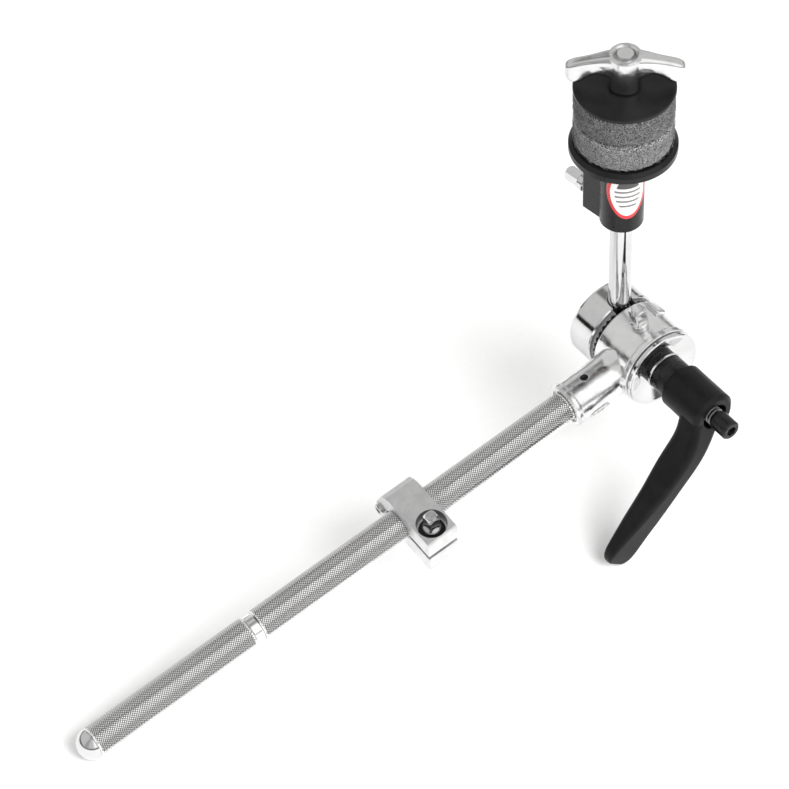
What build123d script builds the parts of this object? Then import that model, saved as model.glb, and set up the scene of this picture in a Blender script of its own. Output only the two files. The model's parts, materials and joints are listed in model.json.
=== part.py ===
from build123d import *
import math
import os

# A short cymbal boom: a knurled tube, a T-shaped toothed tilter worked by an
# indexing clamp lever, and a cymbal rod with its seat, felts and wing nut.
#
# Working frame, in which every piece is drawn: the origin is where the hinge
# axis crosses the boom axis, +X runs along the boom away from its free end,
# Y is the hinge axis with the lever on -Y and the drum on +Y, and +Z is the
# side the cymbal rod stands on. The last lines lay the whole object down as it
# rests on a table: the boom rises by BOOM_RISE towards the hinge, the table is
# at Z 0 and the middle of the footprint is the origin.

# ---------------------------------------------------------------- driving sizes
BOOM_RISE = 12.2          # degrees, slope of the boom when it lies on a table
HINGE_PLACE = (124.5, 5.3, 62.5)   # the hinge centre, seen from the middle of the footprint
TILT_REST = 9.0           # degrees, lean of the cymbal rod past square to the boom
RUNNING = 0.05            # radial clearance of parts that slide or turn
SNUG = 0.02               # radial clearance of parts fixed in one another

TUBE_R = 6.35
TUBE_BORE_R = 4.85
TUBE_FREE_END = -265.8
TUBE_SEATED_END = -19.0
BAND_X = -191.0
BAND_WIDTH = 4.6
BAND_R = 5.65
CAP_PLUG = 12.0

SOCKET_R = 8.9
SOCKET_MOUTH = -39.4
SOCKET_RING_WIDTH = 3.0
SOCKET_RING_R = 9.35
SOCKET_DEPTH = -18.5
FLARE_BLEND_R = 12.0
SET_SCREW_X = -28.4
SET_SCREW_R = 1.65
SET_SCREW_ANGLES = (90.0, 215.0)   # round the boom, from +Y through +Z
PAD_SIZE = (9.5, 5.0, 0.55)
MOUTH_GAP_R = 7.3
MOUTH_GAP_DEPTH = 1.4
LUG_REACH = 18.3

BARREL_R = 16.8
BARREL_LEVER_END = -8.0
BARREL_DRUM_END = 9.4
FLANGE_R = 17.2
FLANGE_DEPTH = 2.6
RECESS_R = 14.4           # the recess for the cap, on the lever side
INDEX_HOLE_R = 1.05
INDEX_HOLE_TURN = 76      # degrees round the flange, from +X
NOTCH_TURN = 143
SPRING_POCKET_R = 9.0
BODY_SCREW_Y = -1.0
BODY_SCREW_R = 3.0
BOLT_R = 5.0
BOLT_HEAD_RECESS_R = 10.6
BUSH_R = 7.0

TOOTH_COUNT = 36
TOOTH_RING_INNER = 11.6
TOOTH_RING_OUTER = 15.7
TOOTH_DEPTH = 1.0
BODY_TOOTH_TIP = 10.25
TILT_TOOTH_TIP = 10.75

DRUM_R = 17.0
DRUM_NEAR = 12.8
DRUM_FAR = 25.2
ROD_Y = 15.0
ROD_R = 4.5
ROD_TENON_R = 3.2
ROD_HUB_R = 10.5
ROD_HUB_NEAR = 10.4
ROD_HUB_FAR = 20.0
ROD_TOP = 146.5
THREAD_FROM = 119.0
THREAD_R = 4.0
THREAD_PITCH = 1.25

SEAT_BOTTOM = 61.3
SEAT_SLEEVE_R = 8.5
SEAT_FLANGE_R = 20.7
SEAT_FLANGE_BOTTOM = 98.7
SEAT_FLANGE_TOP = 103.4
SEAT_BOSS_WIDTH = 11.4
SEAT_BOSS_REACH = 15.7
SEAT_BOSS_TURN = 8.0      # degrees round the rod, from the drum side towards the boom's free end
SEAT_SCREW_HEIGHT = 67.2
SEAT_SCREW_R = 2.5
SEAT_SCREW_SEAT = 18.3    # the screw's collar starts this far from the rod's axis
LABEL_HALF = (7.4, 13.4)
LABEL_HEIGHT = 82.8
LABEL_TURN = 24.0         # degrees round the rod, from the lever side towards the boom's free end
SLEEVE_R = 6.2
SLEEVE_TOP = 128.6
FELT_R = 19.0
FELT_BORE_R = 6.4
LOWER_FELT = (103.5, 115.9)
UPPER_FELT = (116.0, 128.8)
DISC_R = 19.3
DISC = (128.9, 130.6)
NUT_BOTTOM = 130.7
NUT_TOP = 146.3
NUT_HUB_R = 6.35
WING_REACH = 22.1
WING_ANGLE = -38.0        # degrees round the rod, from the boom's direction

CLAMP_X = -114.0
CLAMP_WIDTH = 13.9
CLAMP_ROLL = 10.0         # degrees, screw side down round the tube
CLAMP_HALF = 10.3
CLAMP_SCREW_END = -18.9
CLAMP_SCREW_Y = -12.0
CLAMP_PIN = (11.2, -3.2)
CLAMP_PIN_R = 1.9
CLAMP_KNUCKLE_R = 3.3
CLAMP_SCREW_R = 2.5
CLAMP_GAP = 2.4

LEVER_DIRECTION = 222.0   # degrees round the hinge axis, from +X through +Z
LEVER_REACH = 73.0
LEVER_HUB_R = 9.5
LEVER_HUB = (22.6, 44.0)
INSERT_NECK_R = 7.8
INSERT_NECK = (14.5, 22.4)
INSERT_END = 34.0
SPLINE_R = 6.2
LEVER_SCREW_R = 2.5
LEVER_SCREW_HEAD = (45.8, 53.9)
LEVER_POCKET_R = 5.6


# ------------------------------------------------------------- drawing helpers
def along_x(shape):
    """Lay a shape drawn up Z along +X."""
    return Rot(0, 90, 0) * shape


def along_y(shape):
    """Lay a shape drawn up Z along +Y, the drum side of the hinge."""
    return Rot(-90, 0, 0) * shape


def lever_side(shape):
    """Lay a shape drawn up Z along -Y, so that its height is its distance from the boom axis."""
    return Rot(90, 0, 0) * shape


def on_rod(shape):
    """Put a shape drawn round Z onto the cymbal rod, which leans by TILT_REST round the hinge."""
    return Rot(0, TILT_REST, 0) * (Pos(0, ROD_Y, 0) * shape)


def on_clamp(shape):
    """Put a shape drawn round a tube along X at the memory clamp's place and roll."""
    return Pos(CLAMP_X, 0, 0) * (Rot(CLAMP_ROLL, 0, 0) * shape)


def bar(radius, low, high):
    """A round bar up Z from one height to another."""
    return Pos(0, 0, (low + high) / 2) * Cylinder(radius, high - low)


def ring(outer, inner, low, high):
    """A flat ring round Z."""
    return bar(outer, low, high) - bar(inner, low - 1, high + 1)


def turned(*points):
    """A solid of revolution round Z from its (radius, height) outline."""
    outline = Polyline(*[(r, 0, h) for r, h in points], close=True)
    return revolve(make_face(outline), Axis.Z)


def block(x, y, z):
    """A box from its (low, high) span along each axis."""
    size = [b - a for a, b in (x, y, z)]
    middle = [(a + b) / 2 for a, b in (x, y, z)]
    return Pos(*middle) * Box(*size)


def coil(radius, wire, low, high, turns):
    """A round-wire spring up Z between two heights."""
    path = Helix((high - low - 2 * wire) / turns, high - low - 2 * wire, radius)
    section = Plane(origin=path @ 0, z_dir=path % 0) * Circle(wire)
    return Pos(0, 0, low + wire) * sweep(section, path=path)


def key_screw(head, head_top, collar_r, collar_top, shank_r, shank_end):
    """A square-headed drum-key screw up Z, with its collar's seat at height 0."""
    collar = turned(
        (0, 0), (collar_r, 0), (collar_r, collar_top - 0.5), (collar_r - 0.5, collar_top), (0, collar_top),
    )
    low = collar_top - 0.2
    square = block((-head / 2, head / 2), (-head / 2, head / 2), (low, head_top))
    round_off = turned(
        (0, low), (head * 0.64, low), (head * 0.64, head_top - 1.2), (head * 0.44, head_top), (0, head_top),
    )
    square = square & round_off
    return collar + square + bar(shank_r, shank_end, 0.1)


# ------------------------------------------------------------------- boom group
def boom_tube():
    wall = turned(
        (TUBE_BORE_R, TUBE_FREE_END), (TUBE_R, TUBE_FREE_END),
        (TUBE_R, BAND_X - BAND_WIDTH / 2), (BAND_R, BAND_X - BAND_WIDTH / 2 + 0.7),
        (BAND_R, BAND_X + BAND_WIDTH / 2 - 0.7), (TUBE_R, BAND_X + BAND_WIDTH / 2),
        (TUBE_R, TUBE_SEATED_END - 0.6), (TUBE_R - 0.6, TUBE_SEATED_END), (TUBE_BORE_R, TUBE_SEATED_END),
    )
    return along_x(wall)


def tube_end_cap():
    ball = Pos(0, 0, TUBE_FREE_END) * Sphere(TUBE_R)
    dome = ball & bar(TUBE_R + 1, TUBE_FREE_END - TUBE_R - 1, TUBE_FREE_END)
    plug = bar(TUBE_BORE_R - SNUG, TUBE_FREE_END - 0.1, TUBE_FREE_END + CAP_PLUG)
    return along_x(dome + plug)


def tilter_body():
    barrel = along_y(bar(BARREL_R, BARREL_LEVER_END, BARREL_DRUM_END))
    socket = along_x(bar(SOCKET_R, SOCKET_MOUTH, 0))
    body = barrel + socket + socket_flare()
    ring_end = SOCKET_MOUTH + SOCKET_RING_WIDTH
    mouth_ring = along_x(turned(
        (TUBE_R, SOCKET_MOUTH), (SOCKET_RING_R - 0.8, SOCKET_MOUTH), (SOCKET_RING_R, SOCKET_MOUTH + 0.8),
        (SOCKET_RING_R, ring_end - 0.6), (SOCKET_R - 0.1, ring_end), (TUBE_R, ring_end),
    ))
    body = body + mouth_ring + screw_pad() + stop_lug() + lever_flange()
    body = body - along_x(bar(TUBE_R + SNUG, SOCKET_MOUTH - 1, SOCKET_DEPTH))
    body = body - along_x(bar(MOUTH_GAP_R, SOCKET_MOUTH - 1, SOCKET_MOUTH + MOUTH_GAP_DEPTH))
    body = body - lever_side(bar(RECESS_R, -BARREL_LEVER_END + FLANGE_DEPTH - 2.0, 20))
    body = body - along_y(bar(BUSH_R + SNUG, BARREL_LEVER_END - 5, BARREL_DRUM_END + 5))
    body = body - along_y(bar(SPRING_POCKET_R, 1.2, BARREL_DRUM_END + 1))
    body = body - along_y(ring(TOOTH_RING_OUTER + SNUG, TOOTH_RING_INNER - SNUG, 7.4, BARREL_DRUM_END + 1))
    body = body - Pos(0, BODY_SCREW_Y, 0) * bar(BODY_SCREW_R + RUNNING, 5, BARREL_R + 2)
    for angle in SET_SCREW_ANGLES:
        body = body - round_boom(angle, bar(SET_SCREW_R + SNUG, 4, 14))
    return body


def socket_flare():
    """The concave blend from the socket up and down onto the barrel."""
    blend = FLARE_BLEND_R
    turn = math.radians(43)
    start = (SOCKET_R, -11.4 - blend * math.sin(turn))
    end = (SOCKET_R + blend * (1 - math.cos(turn)), -11.4)
    middle = (SOCKET_R + blend * (1 - math.cos(turn / 2)), start[1] + blend * math.sin(turn / 2))
    curve = ThreePointArc(*[(r, 0, h) for r, h in (start, middle, end)])
    rest = Polyline(*[(r, 0, h) for r, h in (end, (end[0] - 4, -5), (2, -5), (2, start[1]), start)])
    flare = along_x(revolve(make_face(curve + rest), Axis.Z))
    return flare & block((-30, 0), (1 - SOCKET_R, SOCKET_R), (-20, 20))


def lever_flange():
    """The casting's flange under the lever, with its index hole and notch on the rim."""
    base = -BARREL_LEVER_END
    top = base + FLANGE_DEPTH
    plate = turned(
        (6, base - 0.1), (FLANGE_R - 0.3, base - 0.1), (FLANGE_R, base + 0.3), (FLANGE_R, top - 0.3),
        (FLANGE_R - 0.3, top), (RECESS_R, top), (RECESS_R, top - 2.0), (6, top - 2.0),
    )
    on_rim = Pos(FLANGE_R, 0, (base + top) / 2)
    index_hole = Rot(0, 0, INDEX_HOLE_TURN) * (on_rim * along_x(Cylinder(INDEX_HOLE_R, 3)))
    notch = Rot(0, 0, NOTCH_TURN) * (on_rim * Box(3, 3.2, 1.5))
    return lever_side(plate - index_hole - notch)


def round_boom(angle, shape):
    """Turn a shape standing on Z round the boom to an angle from +Y through +Z, at the set screws."""
    return Pos(SET_SCREW_X, 0, 0) * (Rot(angle - 90, 0, 0) * shape)


def screw_pad():
    length, width, proud = PAD_SIZE
    pad = block((-length / 2, length / 2), (-width / 2, width / 2), (6.5, SOCKET_R + proud))
    pad = fillet(pad.edges().filter_by(Axis.Z), 2.0)
    return round_boom(SET_SCREW_ANGLES[1], pad)


def stop_lug():
    """The small cast lug on the far side of the barrel."""
    lug = Rot(0, -48, 0) * block((BARREL_R - 3, LUG_REACH), (0.5, 7.5), (-2.6, 2.6))
    return fillet(lug.edges(), 0.7)


def boom_set_screws():
    screws = []
    for angle, top in zip(SET_SCREW_ANGLES, (8.0, 9.6)):
        grub = bar(SET_SCREW_R, TUBE_R + 0.1, top)
        socket = Pos(0, 0, top - 0.6) * extrude(RegularPolygon(0.9, 6), 1.0)
        screws.append(round_boom(angle, grub - socket))
    return screws


def hinge_bush():
    return along_y(ring(BUSH_R, BOLT_R + RUNNING, BARREL_LEVER_END, 1.0))


def face_teeth(inner, outer, base, tip):
    """A ring up Z with radial V teeth on its upper face."""
    blank = ring(outer, inner, base, tip)
    half = math.pi * outer / TOOTH_COUNT * 0.92
    corners = [(0, -half, tip + 0.01), (0, half, tip + 0.01), (0, 0, tip - TOOTH_DEPTH)]
    groove = extrude(make_face(Polyline(*corners, close=True)), outer + 2, dir=(1, 0, 0))
    grooves = [Rot(0, 0, 360 * (i + 0.5) / TOOTH_COUNT) * groove for i in range(TOOTH_COUNT)]
    return blank - grooves


def body_tooth_ring():
    return along_y(face_teeth(TOOTH_RING_INNER, TOOTH_RING_OUTER, 7.5, BODY_TOOTH_TIP))


def release_spring():
    return along_y(coil(7.3, 0.7, 1.3, 10.2, 3.0))


def flange_cap():
    """The dished plate that closes the lever side of the barrel."""
    plate = turned(
        (BOLT_R + 0.2, 8.7), (14.2, 8.7), (14.2, 10.75), (16.0, 10.75), (16.7, 11.3), (16.7, 12.6),
        (16.3, 13.0), (15.2, 13.0), (9.2, 9.6), (BOLT_R + 0.2, 9.6),
    )
    return lever_side(plate)


def spring_washers():
    lows = (9.7, 10.95, 12.2)
    return [lever_side(ring(7.6, BOLT_R + 0.2, low, low + 1.15)) for low in lows]


def body_key_screw():
    screw = key_screw(5.6, 10.8, 3.6, 3.4, BODY_SCREW_R, -6.9)
    return Pos(0, BODY_SCREW_Y, BARREL_R + 0.1) * screw


# ----------------------------------------------------------------- tilter group
def rod_notch(depth):
    """The slot that lets the rod out through the drum's near side."""
    half = ROD_R + 0.3
    return Pos(0, ROD_Y, 0) * bar(half, 8, 20) + block((-half, half), (ROD_Y - depth, ROD_Y), (8, 20))


def tilter_drum():
    bore = BOLT_R + SNUG
    recess = BOLT_HEAD_RECESS_R
    ring_seat = TOOTH_RING_OUTER + SNUG
    hub_seat = ROD_HUB_R + SNUG
    drum = along_y(turned(
        (bore, 20.1), (bore, 21.6), (recess, 21.6), (recess, DRUM_FAR - 0.4), (recess + 0.4, DRUM_FAR),
        (DRUM_R - 1.4, DRUM_FAR), (DRUM_R - 0.4, DRUM_FAR - 0.4), (DRUM_R, DRUM_FAR - 1.4),
        (DRUM_R, DRUM_NEAR + 0.6), (DRUM_R - 0.6, DRUM_NEAR), (ring_seat, DRUM_NEAR),
        (ring_seat, DRUM_NEAR + 1.4), (hub_seat, DRUM_NEAR + 1.4), (hub_seat, 20.1),
    ))
    return Rot(0, TILT_REST, 0) * (drum - rod_notch(6))


def rod_hub():
    hub = along_y(ring(ROD_HUB_R, BOLT_R + SNUG, ROD_HUB_NEAR, ROD_HUB_FAR))
    socket = Pos(0, ROD_Y, 0) * bar(ROD_TENON_R + SNUG, 5, 12)
    return Rot(0, TILT_REST, 0) * (hub - socket)


def tilt_tooth_ring():
    teeth = face_teeth(TOOTH_RING_INNER, TOOTH_RING_OUTER, -(DRUM_NEAR + 1.35), -TILT_TOOTH_TIP)
    teeth = along_y(Rot(180, 0, 0) * teeth)
    return Rot(0, TILT_REST, 0) * (teeth - rod_notch(6))


def hinge_bolt():
    shank = along_y(bar(BOLT_R, -31.0, 22.0))
    head = along_y(extrude(Pos(0, 0, 21.7) * RegularPolygon(8.0, 6, major_radius=False), 3.2))
    head = chamfer(head.faces().sort_by(Axis.Y)[-1].edges(), 0.6)
    return Rot(0, TILT_REST, 0) * (shank + head)


def thread_outline(root, crest, low, high):
    """(radius, height) points of V ridges from low to high."""
    points = []
    turns = int((high - low) / THREAD_PITCH)
    for i in range(turns):
        at = low + i * THREAD_PITCH
        points += [(root, at), (crest, at + THREAD_PITCH * 0.4), (crest, at + THREAD_PITCH * 0.55)]
    return points + [(root, low + turns * THREAD_PITCH)]


def cymbal_rod():
    root = THREAD_R - 0.55
    tenon = [(0, 5.6), (ROD_TENON_R, 5.6), (ROD_TENON_R, ROD_HUB_R + 0.1)]
    shank = [(ROD_R - 0.3, ROD_HUB_R + 0.1), (ROD_R, ROD_HUB_R + 0.4), (ROD_R, THREAD_FROM - 0.8)]
    thread = thread_outline(root, THREAD_R, THREAD_FROM, ROD_TOP - 0.8)
    return on_rod(turned(*tenon, *shank, *thread, (THREAD_R - 0.9, ROD_TOP), (0, ROD_TOP)))


# ------------------------------------------------------------------- seat group
def seat_body():
    bore = ROD_R + RUNNING
    sleeve = turned(
        (bore, SEAT_BOTTOM), (SEAT_SLEEVE_R - 0.7, SEAT_BOTTOM), (SEAT_SLEEVE_R, SEAT_BOTTOM + 0.7),
        (SEAT_SLEEVE_R, SEAT_FLANGE_BOTTOM - 1.0), (SEAT_SLEEVE_R + 1.0, SEAT_FLANGE_BOTTOM),
        (SEAT_FLANGE_R - 0.8, SEAT_FLANGE_BOTTOM), (SEAT_FLANGE_R, SEAT_FLANGE_BOTTOM + 0.8),
        (SEAT_FLANGE_R, SEAT_FLANGE_TOP - 1.4), (SEAT_FLANGE_R - 1.4, SEAT_FLANGE_TOP),
        (bore, SEAT_FLANGE_TOP),
    )
    half = SEAT_BOSS_WIDTH / 2
    boss = block((-half, half), (5.5, SEAT_BOSS_REACH), (SEAT_BOTTOM + 0.3, SEAT_FLANGE_BOTTOM + 0.5))
    boss = fillet(boss.edges().filter_by(Axis.Z).sort_by(Axis.Y)[-2:], 1.2)
    screw_hole = Pos(0, 0, SEAT_SCREW_HEIGHT) * along_y(bar(SEAT_SCREW_R + RUNNING, ROD_R - 0.5, 20))
    body = sleeve + Rot(0, 0, SEAT_BOSS_TURN) * boss - Rot(0, 0, SEAT_BOSS_TURN) * screw_hole
    body = body - bar(SLEEVE_R + SNUG, SEAT_FLANGE_TOP - 5, SEAT_FLANGE_TOP + 1)
    return on_rod(body)


def cymbal_sleeve():
    bore = ROD_R + RUNNING
    foot = SEAT_FLANGE_TOP - 4.9
    sleeve = turned(
        (bore, foot), (SLEEVE_R, foot), (SLEEVE_R, SLEEVE_TOP - 0.6),
        (SLEEVE_R - 0.6, SLEEVE_TOP), (bore, SLEEVE_TOP),
    )
    return on_rod(sleeve)


def seat_label():
    """A thin oval decal wrapped round the front of the seat's sleeve."""
    wrap = ring(SEAT_SLEEVE_R + 0.25, SEAT_SLEEVE_R + 0.01, SEAT_BOTTOM, SEAT_FLANGE_BOTTOM)
    front = Plane(origin=(0, 0, LABEL_HEIGHT), x_dir=(1, 0, 0), z_dir=(0, -1, 0))
    decal = wrap & extrude(front * Ellipse(*LABEL_HALF), 12)
    return on_rod(Rot(0, 0, -LABEL_TURN) * decal)


def seat_key_screw():
    screw = key_screw(4.8, 10.0, 3.5, 3.0, SEAT_SCREW_R, 5.0 - SEAT_SCREW_SEAT)
    screw = Pos(0, SEAT_SCREW_SEAT, SEAT_SCREW_HEIGHT) * along_y(screw)
    return on_rod(Rot(0, 0, SEAT_BOSS_TURN) * screw)


def felt(span):
    low, high = span
    pad = ring(FELT_R, FELT_BORE_R, low, high)
    return on_rod(pad)


def top_disc():
    low, high = DISC
    return on_rod(turned(
        (ROD_R + 0.3, low), (DISC_R, low), (DISC_R, high - 0.5), (DISC_R - 0.5, high), (ROD_R + 0.3, high),
    ))


def wing(side):
    """One drooping wing, lofted through rounded sections square to its length."""
    # how far out, the lower and upper height, and the thickness of each section
    stations = (
        (3.5, 135.4, 146.2, 9.4),
        (8.0, 136.8, 145.7, 6.8),
        (12.0, 136.9, 144.6, 5.6),
        (15.5, 134.6, 143.7, 5.2),
        (18.5, 133.4, 142.9, 5.2),
        (20.8, 134.2, 141.9, 4.6),
        (WING_REACH, 136.6, 140.4, 2.6),
    )
    sections = []
    for reach, low, high, thick in stations:
        plane = Plane(origin=(side * reach, 0, (low + high) / 2), x_dir=(0, 1, 0), z_dir=(1, 0, 0))
        sections.append(plane * RectangleRounded(thick, high - low, thick * 0.34))
    return loft(sections)


def wing_nut():
    """The hub with its threaded bore, and a wing on each side."""
    nut = turned(
        (0, NUT_BOTTOM), (NUT_HUB_R - 0.5, NUT_BOTTOM), (NUT_HUB_R, NUT_BOTTOM + 0.5),
        (NUT_HUB_R, NUT_TOP - 0.6), (NUT_HUB_R - 0.6, NUT_TOP), (0, NUT_TOP),
    )
    for side in (1, -1):
        nut = nut + wing(side)
    bore = THREAD_R + RUNNING
    mouth = turned((0, NUT_TOP - 1), (bore, NUT_TOP - 1), (bore + 1.0, NUT_TOP + 0.1), (0, NUT_TOP + 0.1))
    nut = nut - bar(bore, NUT_BOTTOM - 1, NUT_TOP + 1) - mouth
    return on_rod(Rot(0, 0, WING_ANGLE) * nut)


# ----------------------------------------------------------------- memory clamp
def jaw_outline(side):
    """Cross-section of one jaw, from the screw end to the hinge. side is 1 above the tube, -1 below."""
    pin_y, pin_z = CLAMP_PIN
    end = CLAMP_SCREW_END
    gap = side * CLAMP_GAP / 2
    top = side * CLAMP_HALF
    return Polyline(
        (end, gap), (end, top - side * 0.6), (end + 0.6, top),
        (5.0, top), (8.0, top - side * 1.2), (11.0, top - side * 3.8),
        (pin_y + 2.6, pin_z + side * 3.0), (pin_y + 2.0, pin_z), (pin_y - 2.6, pin_z),
        (7.2, gap), close=True,
    )


def jaw(side):
    """One jaw with its knuckles: the upper jaw has the middle knuckle, the lower jaw the two outer ones."""
    low, high = -CLAMP_WIDTH / 2, CLAMP_WIDTH / 2
    third = CLAMP_WIDTH / 6
    at_pin = Pos(0, *CLAMP_PIN)
    body = Pos(low, 0, 0) * extrude(make_face(Plane.YZ * jaw_outline(side)), CLAMP_WIDTH, dir=(1, 0, 0))
    body = body + at_pin * along_x(bar(CLAMP_KNUCKLE_R, low, high))
    room = CLAMP_KNUCKLE_R + 0.2
    cleared = bar(room, -third - 0.1, third + 0.1)
    if side > 0:
        cleared = bar(room, low - 1, high + 1) - bar(room, -third + 0.1, third - 0.1)
    body = body - at_pin * along_x(cleared)
    body = body - along_x(bar(TUBE_R + RUNNING, low - 1, high + 1))
    pin_play = RUNNING if side > 0 else SNUG
    return body - at_pin * along_x(bar(CLAMP_PIN_R + pin_play, low - 1, high + 1))


def clamp_lower_jaw():
    body = jaw(-1)
    screw_hole = Pos(0, CLAMP_SCREW_Y, 0) * bar(CLAMP_SCREW_R + RUNNING, -CLAMP_HALF - 1, 0)
    return on_clamp(body - screw_hole)


def clamp_upper_jaw():
    body = jaw(1)
    pocket = Pos(0, CLAMP_SCREW_Y, 0) * bar(6.1, 4.4, CLAMP_HALF + 1)
    screw_hole = Pos(0, CLAMP_SCREW_Y, 0) * bar(3.1, -1, 5)
    return on_clamp(body - pocket - screw_hole)


def clamp_hinge_pin():
    pin_y, pin_z = CLAMP_PIN
    low, high = -CLAMP_WIDTH / 2, CLAMP_WIDTH / 2
    pin = bar(CLAMP_PIN_R, low - 0.1, high - 0.4)
    head = turned((0, low - 1.7), (2.2, low - 1.7), (2.6, low - 1.3), (2.6, low - 0.05), (0, low - 0.05))
    socket = Pos(0, 0, low - 1.8) * extrude(RegularPolygon(1.4, 6), 1.3)
    return on_clamp(Pos(0, pin_y, pin_z) * along_x(pin + head - socket))


def clamp_key_screw():
    screw = key_screw(4.9, 11.2, 3.6, 3.2, CLAMP_SCREW_R, -13.5)
    return on_clamp(Pos(0, CLAMP_SCREW_Y, 5.4) * screw)


def clamp_washer():
    return on_clamp(Pos(0, CLAMP_SCREW_Y, 0) * ring(5.3, 2.7, 4.45, 5.35))


# ------------------------------------------------------------------ lever group
def thrust_ring():
    return lever_side(ring(8.25, BOLT_R + 0.2, 13.5, 14.4))


def spline_ridges(inner, outer, width, low, high):
    """Straight ridges round Z, for the lever's indexing teeth."""
    count = 16
    ridge = block((inner, outer), (-width / 2, width / 2), (low, high))
    return [Rot(0, 0, 360 * i / count) * ridge for i in range(count)]


def lever_insert():
    low, neck_top = INSERT_NECK
    bore = BOLT_R + RUNNING
    screw_bore = LEVER_SCREW_R + SNUG
    body = turned(
        (bore, low), (INSERT_NECK_R - 0.3, low), (INSERT_NECK_R, low + 0.3), (INSERT_NECK_R, neck_top),
        (SPLINE_R, neck_top), (SPLINE_R, INSERT_END), (screw_bore, INSERT_END),
        (screw_bore, 31.5), (bore, 31.5),
    )
    for ridge in spline_ridges(SPLINE_R - 0.2, SPLINE_R + 0.7, 1.2, neck_top - 0.1, INSERT_END):
        body = body + ridge
    return lever_side(Rot(0, 0, LEVER_DIRECTION) * body)


def arm_section(reach, width, near, far):
    """A rounded rectangle across the lever's arm, at a distance from the hub's axis."""
    plane = Plane(origin=(reach, 0, (near + far) / 2), x_dir=(0, 1, 0), z_dir=(1, 0, 0))
    corner = min(width, far - near) * 0.28
    return plane * RectangleRounded(width, far - near, corner)


def lever_handle():
    low, high = LEVER_HUB
    hub = turned(
        (0, low), (LEVER_HUB_R - 0.8, low), (LEVER_HUB_R, low + 0.8), (LEVER_HUB_R, high - 1.6),
        (LEVER_HUB_R - 1.6, high), (0, high),
    )
    # how far out, the width, and the near and far face of each section of the arm
    stations = (
        (2.0, 15.0, 32.5, 43.6),
        (9.0, 13.5, 33.5, 45.6),
        (16.0, 11.0, 34.4, 47.4),
        (27.0, 9.6, 34.2, 47.6),
        (40.0, 11.0, 35.2, 46.6),
        (52.0, 12.2, 36.0, 45.2),
        (63.0, 13.2, 37.0, 43.8),
        (70.0, 12.8, 37.8, 42.8),
        (LEVER_REACH, 8.6, 38.6, 42.0),
    )
    arm = loft([arm_section(*station) for station in stations])
    handle = hub + arm
    handle = handle - bar(SPLINE_R + 2 * RUNNING, low - 1, INSERT_END + 0.1)
    for groove in spline_ridges(SPLINE_R - 0.2, SPLINE_R + 0.8, 1.4, low - 1, INSERT_END + 0.1):
        handle = handle - groove
    handle = handle - bar(LEVER_SCREW_R + 0.1, 30, 40) - bar(LEVER_POCKET_R, 36.0, high + 6)
    return lever_side(Rot(0, 0, LEVER_DIRECTION) * handle)


def lever_screw():
    low, high = LEVER_SCREW_HEAD
    screw = turned(
        (0, 31.6), (LEVER_SCREW_R, 31.6), (LEVER_SCREW_R, low),
        (4.05, low), (4.05, high - 0.6), (3.45, high), (0, high),
    )
    socket = Pos(0, 0, high - 4) * extrude(RegularPolygon(2.3, 6), 5)
    return lever_side(screw - socket)


def lever_spring():
    return lever_side(coil(3.35, 0.4, 36.1, 45.7, 6.0))


# ----------------------------------------------------------------------- export
PIECES = {
    "boom_tube": boom_tube(),
    "tube_end_cap": tube_end_cap(),
    "tilter_body": tilter_body(),
    "boom_set_screws": boom_set_screws(),
    "hinge_bush": hinge_bush(),
    "body_tooth_ring": body_tooth_ring(),
    "release_spring": release_spring(),
    "flange_cap": flange_cap(),
    "spring_washers": spring_washers(),
    "body_key_screw": body_key_screw(),
    "tilter_drum": tilter_drum(),
    "rod_hub": rod_hub(),
    "tilt_tooth_ring": tilt_tooth_ring(),
    "hinge_bolt": hinge_bolt(),
    "cymbal_rod": cymbal_rod(),
    "seat_body": seat_body(),
    "cymbal_sleeve": cymbal_sleeve(),
    "seat_label": seat_label(),
    "seat_key_screw": seat_key_screw(),
    "lower_felt": felt(LOWER_FELT),
    "upper_felt": felt(UPPER_FELT),
    "top_disc": top_disc(),
    "wing_nut": wing_nut(),
    "clamp_lower_jaw": clamp_lower_jaw(),
    "clamp_upper_jaw": clamp_upper_jaw(),
    "clamp_hinge_pin": clamp_hinge_pin(),
    "clamp_key_screw": clamp_key_screw(),
    "clamp_washer": clamp_washer(),
    "thrust_ring": thrust_ring(),
    "lever_insert": lever_insert(),
    "lever_handle": lever_handle(),
    "lever_screw": lever_screw(),
    "lever_spring": lever_spring(),
}

os.makedirs("parts", exist_ok=True)
for name, shape in PIECES.items():
    solids = shape if isinstance(shape, list) else [shape]
    placed = [Pos(*HINGE_PLACE) * (Rot(0, -BOOM_RISE, 0) * solid) for solid in solids]
    export_step(placed[0] if len(placed) == 1 else Compound(children=placed), f"parts/{name}.step")
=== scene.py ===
import json
import math
import random

import bpy
from mathutils import Matrix, Vector, noise


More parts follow.
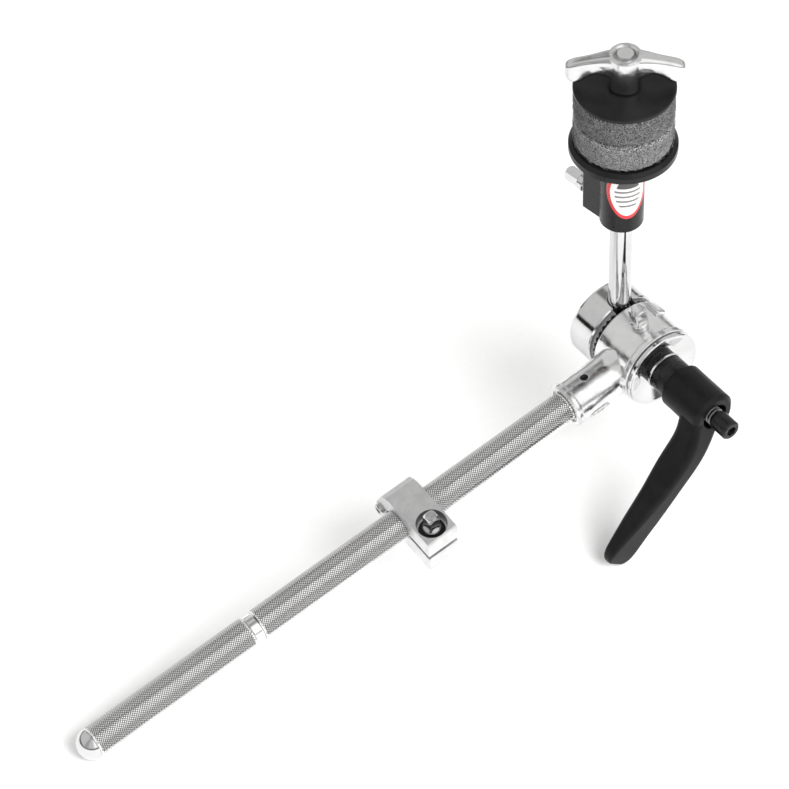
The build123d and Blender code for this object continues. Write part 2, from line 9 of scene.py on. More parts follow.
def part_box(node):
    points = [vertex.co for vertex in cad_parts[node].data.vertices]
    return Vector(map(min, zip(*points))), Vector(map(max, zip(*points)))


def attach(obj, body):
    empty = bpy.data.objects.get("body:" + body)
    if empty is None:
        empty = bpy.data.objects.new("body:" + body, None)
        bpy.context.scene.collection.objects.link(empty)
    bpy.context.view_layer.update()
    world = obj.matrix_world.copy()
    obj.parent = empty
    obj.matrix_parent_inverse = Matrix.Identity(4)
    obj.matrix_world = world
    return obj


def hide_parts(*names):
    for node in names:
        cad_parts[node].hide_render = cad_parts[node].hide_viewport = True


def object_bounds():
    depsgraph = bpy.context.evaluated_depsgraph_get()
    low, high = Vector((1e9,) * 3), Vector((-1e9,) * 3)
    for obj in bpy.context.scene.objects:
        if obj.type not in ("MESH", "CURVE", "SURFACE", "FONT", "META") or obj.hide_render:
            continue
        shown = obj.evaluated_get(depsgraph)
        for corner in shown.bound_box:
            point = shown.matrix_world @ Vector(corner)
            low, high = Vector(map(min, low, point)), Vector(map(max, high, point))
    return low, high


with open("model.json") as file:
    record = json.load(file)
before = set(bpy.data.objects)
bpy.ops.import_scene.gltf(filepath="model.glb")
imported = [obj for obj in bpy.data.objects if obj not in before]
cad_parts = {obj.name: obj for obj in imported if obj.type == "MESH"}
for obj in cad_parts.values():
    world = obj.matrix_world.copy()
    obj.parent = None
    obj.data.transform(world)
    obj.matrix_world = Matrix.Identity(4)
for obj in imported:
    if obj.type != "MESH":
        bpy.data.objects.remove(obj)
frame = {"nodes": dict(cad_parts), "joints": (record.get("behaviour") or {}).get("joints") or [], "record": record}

# A short cymbal boom lying on a pale table: knurled tube, clamp, chromed tilter with its black lever,
# and a cymbal rod with a black seat, two grey felts and a wing nut.

MM = 0.001
CAD_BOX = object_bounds()
JOINTS = {joint["name"]: joint for joint in frame["joints"]}
HINGE = Vector(JOINTS["tilter_tilt"]["pos_m"])
BOOM_AXIS = Vector(JOINTS["memory_clamp_slide"]["axis"])
ROD_AXIS = Vector(JOINTS["nut_travel"]["axis"])
CLAMP_AXIS = Vector(JOINTS["clamp_washer_travel"]["axis"])
ROD_ASIDE = 15.0 * MM          # the rod stands this far from the boom, along the hinge axis
CLAMP_PLACE = -114 * MM        # along the boom
LEVER_TURN = math.radians(222)  # the lever's direction round the hinge, from the boom's +X

TUBE_RADIUS = 6.35 * MM
SOCKET_MOUTH = -39.4 * MM
BAND_PLACE = -191.0 * MM
BAND_WIDTH = 4.6 * MM
BAND_RADIUS = 5.65 * MM
TUBE_END = -265.8 * MM
TUBE_SEATED = -19.0 * MM
TUBE_WALL = 1.5 * MM
KNURL_SHARP = 22               # degrees, edges sharper than this stay crisp
KNURLS_ROUND = 36
KNURL_PITCH = 1.15 * MM
KNURL_DEPTH = 0.34 * MM

FELT_RADIUS = 19.0 * MM
FELT_BORE = 6.4 * MM
FELT_SOFT = 1.0 * MM           # the round on a felt's outer corners
FELT_CROWN = 0.25 * MM
FELT_VOXEL = 0.75 * MM
FELT_SPOKES = 160
SWELL = 0.3 * MM               # the felts start this much small and swell out to size
SWELL_PRESSURE = 4
SWELL_FRAMES = 20
FIBRES = 1500
FIBRE_SEGMENTS = 4
LABEL_MIDDLE = 82.8            # mm up the rod
LABEL_HALF = (7.4, 13.4)       # mm across and up
LABEL_TURN = math.radians(-24)

CAMERA_AZIMUTH = math.radians(-37.66)
CAMERA_ELEVATION = math.radians(45.60)
CAMERA_ROLL = math.radians(1.55)
CAMERA_DISTANCE = 1.5
CAMERA_AIM = Vector((-0.0851, 0.0479, -0.0139))   # from the hinge centre
CAMERA_LENS = 174.9
SENSOR = 36.0


# ---------------------------------------------------------------- frames of the parts
def axes_frame(origin, x_axis, z_axis):
    """A matrix whose X and Z columns are the given directions."""
    x = x_axis.normalized()
    z = z_axis.normalized()
    y = z.cross(x)
    rows = Matrix((x, y, z)).transposed().to_4x4()
    return Matrix.Translation(origin) @ rows


HINGE_AXIS = Vector((0, 1, 0))
BOOM = axes_frame(HINGE, BOOM_AXIS, BOOM_AXIS.cross(HINGE_AXIS))
ROD = axes_frame(HINGE + HINGE_AXIS * ROD_ASIDE, HINGE_AXIS.cross(ROD_AXIS), ROD_AXIS)
BARREL = axes_frame(HINGE, BOOM_AXIS, -HINGE_AXIS)
LEVER = BARREL @ Matrix.Rotation(LEVER_TURN, 4, "Z")
CLAMP = axes_frame(HINGE + BOOM_AXIS * CLAMP_PLACE, BOOM_AXIS, CLAMP_AXIS)


# ---------------------------------------------------------------- material building
class Nodes:
    """Short calls for the nodes a material or the world is built from."""

    def __init__(self, owner):
        owner.use_nodes = True
        self.tree = owner.node_tree
        self.tree.nodes.clear()

    def link(self, start, end):
        self.tree.links.new(start, end)

    def put(self, value, socket):
        """Feed a socket with a link or a plain value."""
        if hasattr(value, "links"):
            self.link(value, socket)
        else:
            socket.default_value = value

    def place(self, where, stretch=(1, 1, 1)):
        """Millimetres in a part's own axes, each multiplied by stretch."""
        coords = self.tree.nodes.new("ShaderNodeTexCoord")
        mapping = self.tree.nodes.new("ShaderNodeMapping")
        mapping.vector_type = "TEXTURE"
        mapping.inputs["Location"].default_value = where.translation
        mapping.inputs["Rotation"].default_value = where.to_euler("XYZ")
        mapping.inputs["Scale"].default_value = (MM, MM, MM)
        self.link(coords.outputs["Object"], mapping.inputs["Vector"])
        if stretch == (1, 1, 1):
            return mapping.outputs[0]
        scale = self.tree.nodes.new("ShaderNodeVectorMath")
        scale.operation = "MULTIPLY"
        scale.inputs[1].default_value = stretch
        self.link(mapping.outputs[0], scale.inputs[0])
        return scale.outputs[0]

    def axis(self, vector, letter):
        split = self.tree.nodes.new("ShaderNodeSeparateXYZ")
        self.link(vector, split.inputs[0])
        return split.outputs[letter]

    def noise(self, vector, scale, detail=4.0, rough=0.55, warp=0.0):
        node = self.tree.nodes.new("ShaderNodeTexNoise")
        node.inputs["Scale"].default_value = scale
        node.inputs["Detail"].default_value = detail
        node.inputs["Roughness"].default_value = rough
        node.inputs["Distortion"].default_value = warp
        self.link(vector, node.inputs["Vector"])
        return node.outputs["Fac"]

    def math(self, operation, first, second=0.0, clamp=False):
        node = self.tree.nodes.new("ShaderNodeMath")
        node.operation = operation
        node.use_clamp = clamp
        self.put(first, node.inputs[0])
        self.put(second, node.inputs[1])
        return node.outputs[0]

    def spread(self, value, low, high, out_low=0.0, out_high=1.0):
        """Map a value's span low to high onto another span, with soft ends."""
        node = self.tree.nodes.new("ShaderNodeMapRange")
        node.interpolation_type = "SMOOTHSTEP"
        ends = (("From Min", low), ("From Max", high), ("To Min", out_low), ("To Max", out_high))
        for name, number in ends:
            node.inputs[name].default_value = number
        self.link(value, node.inputs["Value"])
        return node.outputs["Result"]

    def mix(self, share, first, second):
        node = self.tree.nodes.new("ShaderNodeMix")
        node.data_type = "RGBA"
        self.put(share, node.inputs["Factor"])
        colours = [s for s in node.inputs if s.type == "RGBA"]
        self.put(first, colours[0])
        self.put(second, colours[1])
        return [s for s in node.outputs if s.type == "RGBA"][0]

    def rounded(self, radius_mm):
        """A normal that looks as if the sharp edges had a small round."""
        if radius_mm is None:
            return None
        node = self.tree.nodes.new("ShaderNodeBevel")
        node.samples = 4
        node.inputs["Radius"].default_value = radius_mm * MM
        return node.outputs[0]

    def bump(self, height, depth_mm, normal=None, strength=1.0):
        node = self.tree.nodes.new("ShaderNodeBump")
        node.inputs["Strength"].default_value = strength
        node.inputs["Distance"].default_value = depth_mm * MM
        self.link(height, node.inputs["Height"])
        if normal is not None:
            self.link(normal, node.inputs["Normal"])
        return node.outputs[0]


class Paint(Nodes):
    """A material being built, with one Principled shader as its end."""

    def __init__(self, name):
        self.material = bpy.data.materials.new(name)
        super().__init__(self.material)
        output = self.tree.nodes.new("ShaderNodeOutputMaterial")
        self.shader = self.tree.nodes.new("ShaderNodeBsdfPrincipled")
        self.link(self.shader.outputs[0], output.inputs[0])

    def set(self, **inputs):
        """Feed the Principled shader's inputs, written with _ for spaces."""
        for name, value in inputs.items():
            self.put(value, self.shader.inputs[name.replace("_", " ")])


def grey(value, blue=0.0):
    return (value, value, value * (1 + blue), 1.0)


# ---------------------------------------------------------------- metals
def plated(name, where, unshaded, gloss, wave_mm, edge_mm, waves=0.22):
    """Chrome plate: faint waviness of the metal under it, fine rub marks and cloudy finger haze."""
    paint = Paint(name)
    here = paint.place(where)
    haze = paint.noise(here, 0.13, 5, 0.6, 0.4)
    rubs = paint.noise(paint.place(where, (0.25, 2.2, 2.2)), 1.6, 3, 0.6)
    specks = paint.noise(here, 2.6, 2, 0.5)
    scuffs = paint.spread(rubs, 0.5, 0.85, 0, 0.05)
    tone = paint.spread(haze, 0.3, 0.75)
    paint.set(
        Base_Color=paint.mix(tone, grey(unshaded), grey(unshaded * 0.93, 0.015)),
        Metallic=1.0,
        Roughness=paint.math("ADD", paint.spread(haze, 0.35, 0.7, *gloss), scuffs),
    )
    wave = paint.bump(paint.noise(here, waves, 2, 0.4, 0.3), wave_mm, paint.rounded(edge_mm))
    paint.set(Normal=paint.bump(specks, 0.0012, wave))
    return paint.material


def knurled_chrome(name):
    """Chrome over a diamond knurl: bright rubbed crests, and rougher valleys whose dark grey base colour is
    painted shade in the grooves.
    """
    paint = Paint(name)
    here = paint.place(BOOM)
    across = paint.math("POWER", paint.axis(here, "Y"), 2.0)
    upward = paint.math("POWER", paint.axis(here, "Z"), 2.0)
    radius = paint.math("SQRT", paint.math("ADD", across, upward))
    valley = (TUBE_RADIUS - KNURL_DEPTH) / MM
    crest = paint.spread(radius, valley + 0.03, valley + KNURL_DEPTH / MM * 0.5)
    haze = paint.noise(here, 0.13, 5, 0.6, 0.4)
    band = paint.math("SUBTRACT", 1.0, paint.spread(radius, BAND_RADIUS / MM + 0.05, BAND_RADIUS / MM + 0.3))
    # Crests and the smooth band keep the bright chrome; the valleys' dark grey 0.30 base colour is painted shade
    # in the knurl's grooves.
    unshaded = paint.math("MAXIMUM", crest, band)
    shiny = paint.mix(paint.spread(haze, 0.3, 0.75), grey(0.97), grey(0.9))
    dull = paint.spread(crest, 0.0, 1.0, 0.12, 0.0)
    paint.set(
        Base_Color=paint.mix(unshaded, grey(0.30), shiny),
        Metallic=1.0,
        Roughness=paint.math("ADD", paint.spread(haze, 0.35, 0.7, 0.09, 0.16), dull),
    )
    return paint.material


def satin_clamp(name):
    """Plated zinc casting, tumbled to a satin, with softly rounded edges."""
    paint = Paint(name)
    here = paint.place(CLAMP)
    grain = paint.noise(here, 1.4, 6, 0.65)
    cloud = paint.noise(here, 0.25, 3, 0.5, 0.3)
    paint.set(
        Base_Color=paint.mix(paint.spread(cloud, 0.3, 0.7), grey(0.82), grey(0.72, 0.01)),
        Metallic=1.0,
        Roughness=paint.spread(grain, 0.3, 0.7, 0.36, 0.5),
    )
    paint.set(Normal=paint.bump(grain, 0.03, paint.rounded(0.45)))
    return paint.material


def dark_metal(name, where, tone, rough):
    """Oiled sintered or blackened steel with pitted grain and lighter cloudy patches."""
    paint = Paint(name)
    here = paint.place(where)
    pits = paint.noise(here, 1.9, 6, 0.7)
    cloud = paint.noise(here, 0.3, 3, 0.5)
    colour = paint.mix(paint.spread(pits, 0.3, 0.75), grey(tone * 0.55), grey(tone * 1.3, 0.02))
    paint.set(
        Base_Color=paint.mix(paint.spread(cloud, 0.55, 0.8, 0, 0.35), colour, grey(tone * 1.8)),
        Metallic=0.85,
        Roughness=paint.spread(pits, 0.3, 0.8, rough - 0.08, rough + 0.12),
    )
    paint.set(Normal=paint.bump(pits, 0.02, paint.rounded(0.12)))
    return paint.material


def turned_metal(name, where, colour, rough):
    """Machined metal with fine turning rings."""
    paint = Paint(name)
    here = paint.place(where)
    rings = paint.noise(paint.place(where, (0.3, 0.3, 9.0)), 1.0, 3, 0.6)
    cloud = paint.noise(here, 0.35, 4, 0.55)
    darker = tuple(c * 0.72 for c in colour[:3]) + (1.0,)
    paint.set(
        Base_Color=paint.mix(paint.spread(cloud, 0.35, 0.75), colour, darker),
        Metallic=1.0,
        Roughness=paint.spread(rings, 0.3, 0.7, rough - 0.06, rough + 0.1),
    )
    paint.set(Normal=paint.bump(rings, 0.008, paint.rounded(0.15)))
    return paint.material


# ---------------------------------------------------------------- blacks
def black_coat(name, where, tone, rough, grain_scale, grain_mm, edge_mm, shine=0.25):
    """Black powder coat or moulding: fine orange-peel grain, faint dust and softly rounded edges."""
    paint = Paint(name)
    here = paint.place(where)
    peel = paint.noise(here, grain_scale, 3, 0.5)
    cloud = paint.noise(here, 0.16, 4, 0.6, 0.5)
    dust = paint.spread(paint.noise(here, 5.5, 2, 0.5), 0.68, 0.78)
    colour = paint.mix(paint.spread(cloud, 0.35, 0.7), grey(tone, 0.03), grey(tone * 1.5, 0.02))
    paint.set(
        Base_Color=paint.mix(paint.math("MULTIPLY", dust, 0.12), colour, grey(0.12)),
        Roughness=paint.spread(cloud, 0.3, 0.75, *rough),
        Specular_IOR_Level=shine,
    )
    paint.set(Normal=paint.bump(peel, grain_mm, paint.rounded(edge_mm)))
    return paint.material


def wool_felt(name, dark, light, layers):
    """Pressed wool: marled light and dark fibres lying round the pad, in thin pressed layers."""
    paint = Paint(name)
    here = paint.place(ROD)
    layered = paint.place(ROD, (0.42, 0.42, 2.6))
    strands = paint.noise(layered, layers, 5, 0.78, 0.8)
    tufts = paint.noise(here, 0.75, 5, 0.7, 0.6)
    hairs = paint.noise(paint.place(ROD, (1.0, 1.0, 1.5)), 2.1, 2, 0.6, 0.3)
    blend = paint.math("ADD", paint.math("MULTIPLY", strands, 0.3), paint.math("MULTIPLY", hairs, 0.7))
    colour = paint.mix(paint.spread(blend, 0.44, 0.56), grey(dark), grey(light))
    paint.set(
        Base_Color=paint.mix(paint.spread(tufts, 0.45, 0.8, 0, 0.35), colour, grey(dark)),
        Roughness=0.95,
        Specular_IOR_Level=0.15,
        Sheen_Weight=0.12,
        Sheen_Roughness=0.5,
    )
    paint.set(Normal=paint.bump(blend, 0.35))
    return paint.material


def printed_label(name):
    """White film with a red oval border and plain grey bars in place of any wording."""
    paint = Paint(name)
    here = paint.place(ROD @ Matrix.Rotation(LABEL_TURN, 4, "Z"))
    across = paint.math("DIVIDE", paint.axis(here, "X"), LABEL_HALF[0])
    height = paint.math("SUBTRACT", paint.axis(here, "Z"), LABEL_MIDDLE)
    up = paint.math("DIVIDE", height, LABEL_HALF[1])
    squares = paint.math("ADD", paint.math("POWER", across, 2.0), paint.math("POWER", up, 2.0))
    radial = paint.math("SQRT", squares)
    border = paint.spread(radial, 0.86, 0.88)
    lines = paint.spread(paint.math("SINE", paint.math("MULTIPLY", height, 2.6)), 0.1, 0.45)
    inside = paint.math("MULTIPLY", paint.spread(radial, 0.66, 0.7, 1, 0), paint.spread(height, -9.0, -8.6))
    bars = paint.math("MULTIPLY", paint.math("MULTIPLY", lines, inside), paint.spread(height, 1.0, 1.4, 1, 0))
    block = paint.math("MULTIPLY", paint.spread(radial, 0.60, 0.63, 1, 0), paint.spread(height, 2.2, 2.5))
    fade = paint.noise(here, 1.1, 4, 0.6)
    white = paint.mix(paint.spread(fade, 0.4, 0.7), (0.86, 0.86, 0.84, 1), (0.79, 0.79, 0.77, 1))
    inked = paint.mix(bars, white, (0.16, 0.15, 0.15, 1))
    inked = paint.mix(block, inked, (0.05, 0.05, 0.05, 1))
    paint.set(Base_Color=paint.mix(border, inked, (0.62, 0.02, 0.03, 1)), Roughness=0.28, Coat_Weight=0.3)
    paint.set(Normal=paint.bump(fade, 0.01))
    return paint.material


def pale_floor(name):
    """Plain matte studio paper."""
    paint = Paint(name)
    here = paint.place(Matrix.Identity(4))
    tooth = paint.noise(here, 0.4, 5, 0.6)
    paint.set(
        Base_Color=paint.mix(paint.spread(tooth, 0.3, 0.7), grey(0.93), grey(0.915)),
        Roughness=0.8,
        Specular_IOR_Level=0.1,
    )
    return paint.material


def all_materials():
    return {
        "boom_chrome": knurled_chrome("knurled_chrome"),
        "cast_chrome": plated("turned_chrome", BARREL, 0.72, (0.06, 0.12), 0.05, 0.5),
        "clamp_satin": satin_clamp("clamp_satin_chrome"),
        "rod_chrome": plated("rod_chrome", ROD, 0.70, (0.035, 0.08), 0.006, 0.1),
        "screw_chrome": plated("screw_chrome", ROD, 0.72, (0.07, 0.14), 0.05, 0.35, 0.5),
        "wing_chrome": plated("wing_chrome", ROD, 0.72, (0.1, 0.18), 0.12, 0.8, 0.2),
        "tooth_steel": dark_metal("sintered_tooth_steel", BARREL, 0.30, 0.4),
        "bolt_steel": turned_metal("bright_bolt_steel", BARREL, (0.55, 0.55, 0.56, 1.0), 0.26),
        "spring_steel": turned_metal("spring_wire", BARREL, (0.42, 0.42, 0.43, 1.0), 0.3),
        "bush_brass": turned_metal("turned_brass", BARREL, (0.72, 0.52, 0.22, 1.0), 0.25),
        "black_steel": black_coat("black_oxide_steel", BARREL, 0.008, (0.22, 0.34), 3.0, 0.012, 0.2),
        "lever_black": black_coat("lever_black_coat", LEVER, 0.006, (0.33, 0.45), 2.4, 0.03, 0.8, 0.15),
        "seat_plastic": black_coat("seat_black_moulding", ROD, 0.006, (0.24, 0.36), 1.6, 0.012, 0.4),
        "sleeve_nylon": black_coat("sleeve_black_nylon", ROD, 0.01, (0.4, 0.5), 1.2, 0.015, 0.3),
        "disc_plastic": black_coat("disc_black_plastic", ROD, 0.006, (0.3, 0.42), 3.2, 0.02, 0.2),
        "label_print": printed_label("printed_label_film"),
    }


# ---------------------------------------------------------------- mesh building
def add_mesh(name, vertices, faces, material, sharp_above=None):
    mesh = bpy.data.meshes.new(name)
    mesh.from_pydata(vertices, [], faces)
    mesh.validate()
    mesh.materials.append(material)
    mesh.shade_smooth()
    if sharp_above is not None:
        mesh.set_sharp_from_angle(angle=math.radians(sharp_above))
    piece = bpy.data.objects.new(name, mesh)
    bpy.context.scene.collection.objects.link(piece)
    return piece


def tube_rings():
    """(distance along the boom, radius, knurl depth) of every ring of the tube's skin."""
    rings = [(TUBE_END, TUBE_RADIUS - 0.35 * MM, 0.0), (TUBE_END + 0.35 * MM, TUBE_RADIUS, 0.0)]
    half = BAND_WIDTH / 2
    near_band = BAND_PLACE - half
    far_band = BAND_PLACE + half
    step = KNURL_PITCH / 2

    def knurled(low, high):
        count = int((high - low) / step)
        return [(low + (high - low) * (i + 0.5) / count, TUBE_RADIUS, KNURL_DEPTH) for i in range(count)]

    rings += knurled(TUBE_END + 0.8 * MM, near_band - 0.3 * MM)
    rings += [(near_band, TUBE_RADIUS, 0.0), (near_band + 0.7 * MM, BAND_RADIUS, 0.0)]
    rings += [(far_band - 0.7 * MM, BAND_RADIUS, 0.0), (far_band, TUBE_RADIUS, 0.0)]
    rings += knurled(far_band + 0.3 * MM, SOCKET_MOUTH - 0.1 * MM)
    rings += [(SOCKET_MOUTH, TUBE_RADIUS - 0.05 * MM, 0.0), (TUBE_SEATED, TUBE_RADIUS - 0.05 * MM, 0.0)]
    return rings


def knurled_tube(material):
    """The tube's skin with real diamond knurls, as a closed shell with its bore."""
    around = KNURLS_ROUND * 2
    rings = tube_rings()
    vertices = []
    for row, (along, radius, depth) in enumerate(rings):
        for spoke in range(around):
            angle = 2 * math.pi * spoke / around
            here = radius - (depth if (row + spoke) % 2 else 0.0)
            vertices.append(BOOM @ Vector((along, here * math.cos(angle), here * math.sin(angle))))
    faces = []
    for row in range(len(rings) - 1):
        flat = rings[row][2] == 0 or rings[row + 1][2] == 0
        for spoke in range(around):
            a = row * around + spoke
            b = row * around + (spoke + 1) % around
            c = b + around
            d = a + around
            if flat:
                faces.append((a, b, c, d))
            elif (row + spoke) % 2:
                faces += [(a, b, c), (a, c, d)]
            else:
                faces += [(a, b, d), (b, c, d)]
    last = len(vertices)
    bore = TUBE_RADIUS - TUBE_WALL
    for along in (TUBE_END, TUBE_SEATED):
        for spoke in range(around):
            angle = 2 * math.pi * spoke / around
            vertices.append(BOOM @ Vector((along, bore * math.cos(angle), bore * math.sin(angle))))
    end_row = (len(rings) - 1) * around
    for spoke in range(around):
        turn = (spoke + 1) % around
        faces.append((last + spoke, last + turn, turn, spoke))
        faces.append((end_row + spoke, end_row + turn, last + around + turn, last + around + spoke))
        faces.append((last + around + spoke, last + around + turn, last + turn, last + spoke))
    return add_mesh("boom_tube_knurled", vertices, faces, material, KNURL_SHARP)


def rod_span(node):
    """A node's thickness along the rod, from its mesh."""
    inverse = ROD.inverted()
    heights = [(inverse @ vertex.co).z for vertex in frame["nodes"][node].data.vertices]
    return max(heights) - min(heights)


def felt_outline(low, high):
    """(radius, height) points of a felt pad's closed cross-section, crowned and soft at its corners."""
    soft = FELT_SOFT
    crown = FELT_CROWN
    inner = FELT_BORE
    outer = FELT_RADIUS - crown
    points = []
    steps = 26
    for i in range(steps):
        share = i / steps
        height = low + soft + (high - low - 2 * soft) * share
        points.append((outer + crown * math.sin(math.pi * share), height))
    for i in range(7):
        angle = math.pi / 2 * i / 6
        points.append((outer - soft + soft * math.cos(angle), high - soft + soft * math.sin(angle)))
    for i in range(1, 14):
        points.append((outer - soft + (inner + 0.5 * MM - outer + soft) * i / 13, high))
    for i in range(9):
        points.append((inner, high - 0.5 * MM + (low - high + 1.0 * MM) * i / 8))
    for i in range(13):
        points.append((inner + 0.5 * MM + (outer - soft - inner - 0.5 * MM) * i / 13, low))
    for i in range(6):
        angle = -math.pi / 2 + math.pi / 2 * i / 6
        points.append((outer - soft + soft * math.cos(angle), low + soft + soft * math.sin(angle)))
    return points


def felt_height(angle, radius, height, seed):
    """How far the wool stands in or out at a place, in metres: tufts, plus thin pressed layers."""
    round_trip = Vector((math.cos(angle), math.sin(angle), 0)) * radius / MM
    tuft_place = Vector((round_trip.x * 0.35, round_trip.y * 0.35, height / MM * 1.1 + seed))
    tuft = noise.fractal(tuft_place, 0.8, 2.0, 4)
    layer = noise.noise(Vector((round_trip.x * 0.06, round_trip.y * 0.06, height / MM * 1.9 + seed * 3)))
    return (0.16 * tuft + 0.14 * layer) * MM


def felt_ring(low, high):
    """The pad before it swells: its outline swept round the rod, a little small on every side."""
    outline = felt_outline(low + SWELL, high - SWELL)
    around = FELT_SPOKES
    vertices = []
    faces = []
    count = len(outline)
    for spoke in range(around):
        angle = 2 * math.pi * spoke / around
        for radius, height in outline:
            small = radius - SWELL if radius > FELT_BORE + SWELL else radius + SWELL
            vertices.append((small * math.cos(angle), small * math.sin(angle), height))
        here = spoke * count
        there = ((spoke + 1) % around) * count
        for i in range(count):
            j = (i + 1) % count
            faces.append((here + i, there + i, there + j, here + j))
    return vertices, faces


def applied(piece):
    """Replace a piece's mesh with what its modifiers make of it."""
    graph = bpy.context.evaluated_depsgraph_get()
    made = bpy.data.meshes.new_from_object(piece.evaluated_get(graph))
    piece.modifiers.clear()
    piece.data = made


def swell(piece, cap):
    """Let cloth pressure round the pad out, with no point moving farther than cap."""
    scene = bpy.context.scene
    start = [vertex.co.copy() for vertex in piece.data.vertices]
    cloth = piece.modifiers.new("swell", "CLOTH")
    cloth.settings.use_pressure = True
    cloth.settings.uniform_pressure_force = SWELL_PRESSURE
    cloth.settings.effector_weights.gravity = 0
    for number in range(1, SWELL_FRAMES + 1):
        scene.frame_set(number)
    graph = bpy.context.evaluated_depsgraph_get()
    swollen = [vertex.co.copy() for vertex in piece.evaluated_get(graph).data.vertices]
    piece.modifiers.clear()
    scene.frame_set(1)
    for vertex, old, new in zip(piece.data.vertices, start, swollen):
        move = new - old
        if move.length > cap:
            move *= cap / move.length
        vertex.co = old + move


def felt_pad(name, node, body, material, seed):
    """A pad of pressed felt in the place of its CAD ring, swollen by a cloth simulation, then roughened."""
    low_corner, high_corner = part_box(node)
    middle = ROD.inverted() @ ((low_corner + high_corner) / 2)
    thick = rod_span(node)
    low = middle.z - thick / 2
    high = middle.z + thick / 2
    vertices, faces = felt_ring(low, high)
    pad = add_mesh(name, vertices, faces, material)
    remesh = pad.modifiers.new("even", "REMESH")
    remesh.mode = "VOXEL"
    remesh.voxel_size = FELT_VOXEL
    applied(pad)
    swell(pad, SWELL)
    finer = pad.modifiers.new("finer", "SUBSURF")
    finer.levels = 1
    applied(pad)
    for vertex in pad.data.vertices:
        place = vertex.co.copy()
        radius = math.hypot(place.x, place.y)
        rim = min(place.z - low, high - place.z) / MM
        outside = min(1.0, max(0.0, (radius - FELT_RADIUS + 3 * MM) / (2 * MM)), max(0.1, rim))
        rough = felt_height(math.atan2(place.y, place.x), radius, place.z, seed) * outside
        place.x *= 1 + rough / radius
        place.y *= 1 + rough / radius
        place.z = min(high, max(low, place.z))
        vertex.co = ROD @ place
    pad.data.shade_smooth()
    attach(pad, body)
    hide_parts(node)
    return low, high


def felt_fibres(name, body, low, high, material, seed):
    """Loose wool hairs lying round the pad's rim and lifting a little off it."""
    chance = random.Random(seed)
    vertices = []
    faces = []
    segments = FIBRE_SEGMENTS
    for strand in range(FIBRES):
        angle = chance.uniform(0, 2 * math.pi)
        height = chance.uniform(low + 1.2 * MM, high - 1.2 * MM)
        length = chance.uniform(1.0, 3.2) * MM
        rise = chance.uniform(-0.7, 0.7)
        lift = chance.uniform(0.05, 0.42) * MM
        thick = chance.uniform(0.018, 0.04) * MM
        for step in range(segments + 1):
            share = step / segments
            here = angle + length * share / FELT_RADIUS
            out = FELT_RADIUS - 0.15 * MM + lift * math.sin(math.pi * share)
            up = height + rise * length * 0.35 * share
            up = min(high - 0.6 * MM, max(low + 0.6 * MM, up))
            point = Vector((out * math.cos(here), out * math.sin(here), up))
            outward = Vector((math.cos(here), math.sin(here), 0))
            for corner in (Vector((0, 0, thick)), outward * thick - Vector((0, 0, thick)), -outward * thick):
                vertices.append(ROD @ (point + corner))
        first = len(vertices) - 3 * (segments + 1)
        for step in range(segments):
            for side in range(3):
                a = first + 3 * step + side
                b = first + 3 * step + (side + 1) % 3
                faces.append((a, b, b + 3, a + 3))
        end = first + 3 * segments
        faces.append((first + 2, first + 1, first))
        faces.append((end, end + 1, end + 2))
    hairs = add_mesh(name, vertices, faces, material)
    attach(hairs, body)


# ---------------------------------------------------------------- the object
def dress_cad_nodes(materials):
    """Give each CAD node the material of its slot; the tilter's casting is rougher than the turned drum."""
    casting = plated("cast_chrome", BARREL, 0.84, (0.15, 0.27), 0.45, 0.9, 0.13)
    for part in frame["record"]["subparts"]:
        material = materials.get(part["material_slot"])
        if material is None:
            continue
        mesh = frame["nodes"][part["node"]].data
        mesh.materials.clear()
        mesh.materials.append(casting if part["node"] == "tilter_body" else material)


def build_object():
    materials = all_materials()
    dress_cad_nodes(materials)
    tube = knurled_tube(materials["boom_chrome"])
    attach(tube, "boom")
    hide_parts("boom_tube")
    pale_wool = wool_felt("lower_grey_felt", 0.02, 0.36, 1.6)
    dark_wool = wool_felt("upper_grey_felt", 0.009, 0.24, 1.9)
    low, high = felt_pad("lower_felt_pad", "lower_felt", "seat", pale_wool, 3)
    felt_fibres("lower_felt_fibres", "seat", low, high, pale_wool, 11)
    low, high = felt_pad("upper_felt_pad", "upper_felt", "nut_stack", dark_wool, 8)
    felt_fibres("upper_felt_fibres", "nut_stack", low, high, dark_wool, 12)


# ---------------------------------------------------------------- studio
FLOOR_HALF = 8.0


def build_floor():
    size = FLOOR_HALF
    mesh = bpy.data.meshes.new("studio_floor")
    level = CAD_BOX[0].z
    corners = [(-size, -size, level), (size, -size, level), (size, size, level), (-size, size, level)]
    mesh.from_pydata(corners, [], [(0, 1, 2, 3)])
    mesh.materials.append(pale_floor("studio_paper"))
    floor = bpy.data.objects.new("studio_floor", mesh)
    bpy.context.scene.collection.objects.link(floor)


def soft_light(name, toward, distance, size, power):
    """A square soft box beyond the object in a direction; the world's panels stand for it in reflections."""
    lamp = bpy.data.lights.new(name, "AREA")
    lamp.shape = "SQUARE"
    lamp.size = size
    lamp.energy = power
    box = bpy.data.objects.new(name, lamp)
    middle = (CAD_BOX[0] + CAD_BOX[1]) / 2
    direction = Vector(toward).normalized()
    box.location = middle + direction * distance
    box.rotation_mode = "QUATERNION"
    box.rotation_quaternion = direction.to_track_quat("Z", "Y")
    box.visible_camera = False
    box.visible_glossy = False
    bpy.context.scene.collection.objects.link(box)


# Studio panels seen in the reflections: the azimuth and height spans in degrees, softness, brightness.
# Azimuth 0 is +X and 90 is +Y, the drum side.
PANELS = (
    ((-180, 180), (9, 77), 6, 0.72),
    ((-180, -150), (9, 77), 8, 0.45),
    ((62, 96), (36, 66), 8, 0.24),
    ((-112, -48), (14, 70), 5, 1.3),
    ((130, 165), (-4, 10), 2, 0.02),
)
DARK_GAP = 0.12                # between the table and the walls
CEILING = 0.24


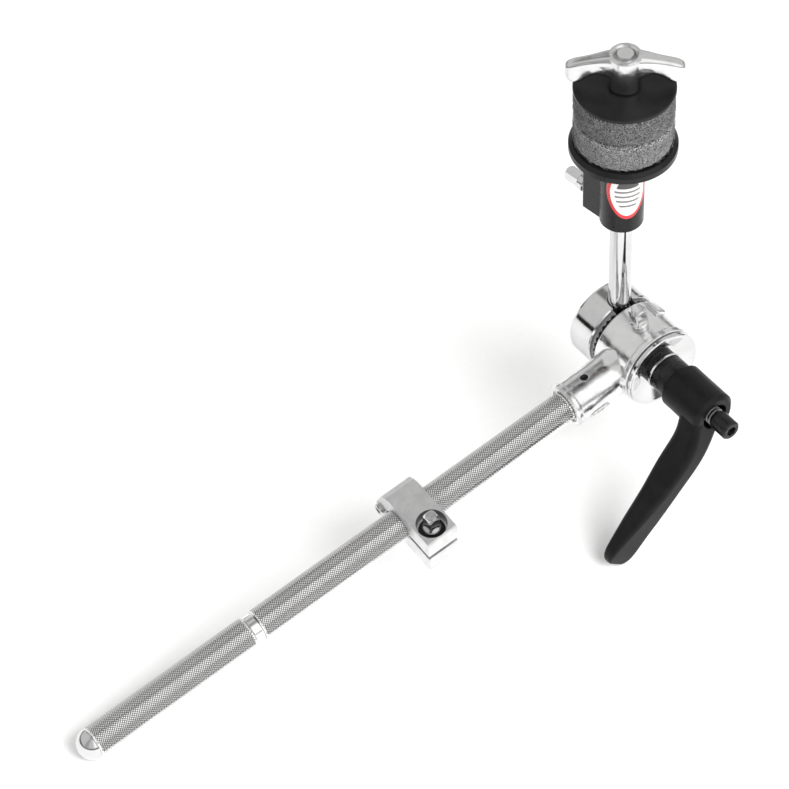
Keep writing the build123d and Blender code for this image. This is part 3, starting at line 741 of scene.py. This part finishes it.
def within(sky, value, low, high, soft):
    """1 between low and high, fading to 0 over soft on each side."""
    rising = sky.spread(value, low - soft, low + soft)
    falling = sky.spread(value, high - soft, high + soft, 1, 0)
    return sky.math("MULTIPLY", rising, falling)


def build_surroundings():
    """Bright studio panels with dark gaps between them, seen only in reflections; the camera sees white."""
    world = bpy.data.worlds.new("studio")
    bpy.context.scene.world = world
    sky = Nodes(world)
    coords = sky.tree.nodes.new("ShaderNodeTexCoord")
    direction = coords.outputs["Generated"]
    degree = 180 / math.pi
    around = sky.math("ARCTAN2", sky.axis(direction, "Y"), sky.axis(direction, "X"))
    heading = sky.math("MULTIPLY", around, degree)
    height = sky.math("MULTIPLY", sky.math("ARCSINE", sky.axis(direction, "Z")), degree)
    glow = sky.spread(height, 70, 82, DARK_GAP, CEILING)
    for (left, right), (low, high), soft, brightness in PANELS:
        inside = within(sky, height, low, high, soft)
        if right - left < 360:
            inside = sky.math("MULTIPLY", inside, within(sky, heading, left, right, soft))
        keep = sky.math("MULTIPLY", glow, sky.math("SUBTRACT", 1.0, inside))
        glow = sky.math("ADD", keep, sky.math("MULTIPLY", inside, brightness))
    surround = sky.tree.nodes.new("ShaderNodeBackground")
    sky.link(glow, surround.inputs["Strength"])
    surround.inputs["Color"].default_value = (1.0, 0.995, 0.985, 1.0)
    backdrop = sky.tree.nodes.new("ShaderNodeBackground")
    backdrop.inputs["Color"].default_value = grey(1.0)
    path = sky.tree.nodes.new("ShaderNodeLightPath")
    choose = sky.tree.nodes.new("ShaderNodeMixShader")
    output = sky.tree.nodes.new("ShaderNodeOutputWorld")
    sky.link(path.outputs["Is Camera Ray"], choose.inputs[0])
    sky.link(surround.outputs[0], choose.inputs[1])
    sky.link(backdrop.outputs[0], choose.inputs[2])
    sky.link(choose.outputs[0], output.inputs[0])


def build_lights():
    soft_light("key_right", (0.066, -0.742, 0.667), 1.4, 0.85, 21.0)
    soft_light("fill_left", (-0.75, 0.25, 0.75), 1.6, 0.7, 5.0)


def build_camera():
    lens = bpy.data.cameras.new("camera")
    lens.lens = CAMERA_LENS
    lens.sensor_width = SENSOR
    lens.clip_start = 0.05
    lens.clip_end = 50
    camera = bpy.data.objects.new("camera", lens)
    bpy.context.scene.collection.objects.link(camera)
    flat = math.cos(CAMERA_ELEVATION)
    sideways = math.sin(CAMERA_AZIMUTH) * flat
    towards = -math.cos(CAMERA_AZIMUTH) * flat
    back = Vector((sideways, towards, math.sin(CAMERA_ELEVATION)))
    level = Vector((math.cos(CAMERA_AZIMUTH), math.sin(CAMERA_AZIMUTH), 0))
    upright = back.cross(level)
    right = level * math.cos(CAMERA_ROLL) + upright * math.sin(CAMERA_ROLL)
    up = back.cross(right)
    turn = Matrix((right, up, back)).transposed().to_4x4()
    camera.matrix_world = Matrix.Translation(HINGE + CAMERA_AIM + back * CAMERA_DISTANCE) @ turn
    bpy.context.scene.camera = camera


def build_studio():
    build_floor()
    build_surroundings()
    build_lights()
    build_camera()
    bpy.context.scene.view_settings.view_transform = "Standard"


build_object()
build_studio()
